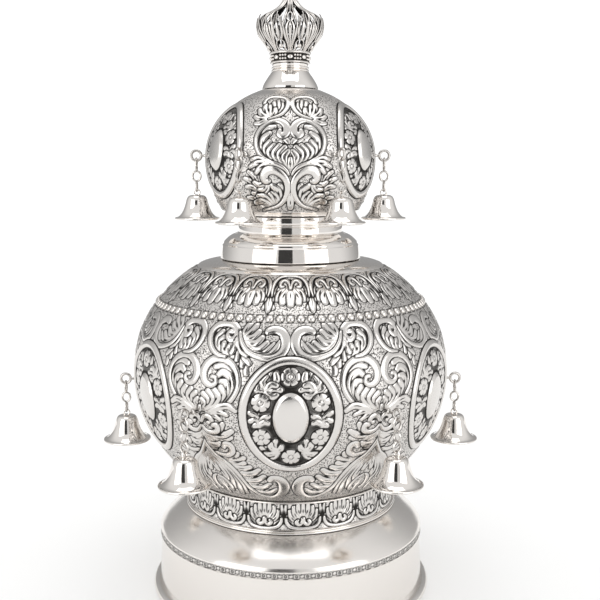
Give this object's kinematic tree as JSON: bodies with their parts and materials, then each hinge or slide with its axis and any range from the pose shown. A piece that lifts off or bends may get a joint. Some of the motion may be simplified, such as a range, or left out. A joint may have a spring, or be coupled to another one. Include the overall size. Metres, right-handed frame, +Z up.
{
  "type": "torah crown",
  "caption": "Silver Torah crown: a domed skirt, two hollow chased globes hung with small bells on chains, and a small open crown on top.",
  "frame": {"origin": "centre of the skirt's rim, on the surface it stands on", "axes": "+Z up along the axis of the two globes, -Y towards the front, whose great globe shows a whole oval medallion"},
  "size_m": [0.2718, 0.2324, 0.429],
  "materials": {
    "polished_silver": "mirror-polished silver",
    "chased_silver": "chased silver, dark in the recesses and bright on the crests",
    "cast_silver": "cast silver, dark in the recesses"
  },
  "bodies": {
    "root": {"base_skirt": "polished_silver", "foot_band": "chased_silver", "great_globe": "chased_silver", "collar": "polished_silver", "small_globe": "chased_silver", "top_neck": "polished_silver", "small_crown": "cast_silver", "great_post_1": "polished_silver", "great_post_2": "polished_silver", "great_post_3": "polished_silver", "great_post_4": "polished_silver", "great_post_5": "polished_silver", "great_post_6": "polished_silver", "great_chain_1": "polished_silver", "great_chain_2": "polished_silver", "great_chain_3": "polished_silver", "great_chain_4": "polished_silver", "great_chain_5": "polished_silver", "great_chain_6": "polished_silver", "great_bell_1": "polished_silver", "great_bell_2": "polished_silver", "great_bell_3": "polished_silver", "great_bell_4": "polished_silver", "great_bell_5": "polished_silver", "great_bell_6": "polished_silver", "small_post_1": "polished_silver", "small_post_2": "polished_silver", "small_post_3": "polished_silver", "small_post_4": "polished_silver", "small_post_5": "polished_silver", "small_post_6": "polished_silver", "small_chain_1": "polished_silver", "small_chain_2": "polished_silver", "small_chain_3": "polished_silver", "small_chain_4": "polished_silver", "small_chain_5": "polished_silver", "small_chain_6": "polished_silver", "small_bell_1": "polished_silver", "small_bell_2": "polished_silver", "small_bell_3": "polished_silver", "small_bell_4": "polished_silver", "small_bell_5": "polished_silver", "small_bell_6": "polished_silver"}
  },
  "joints": []
}
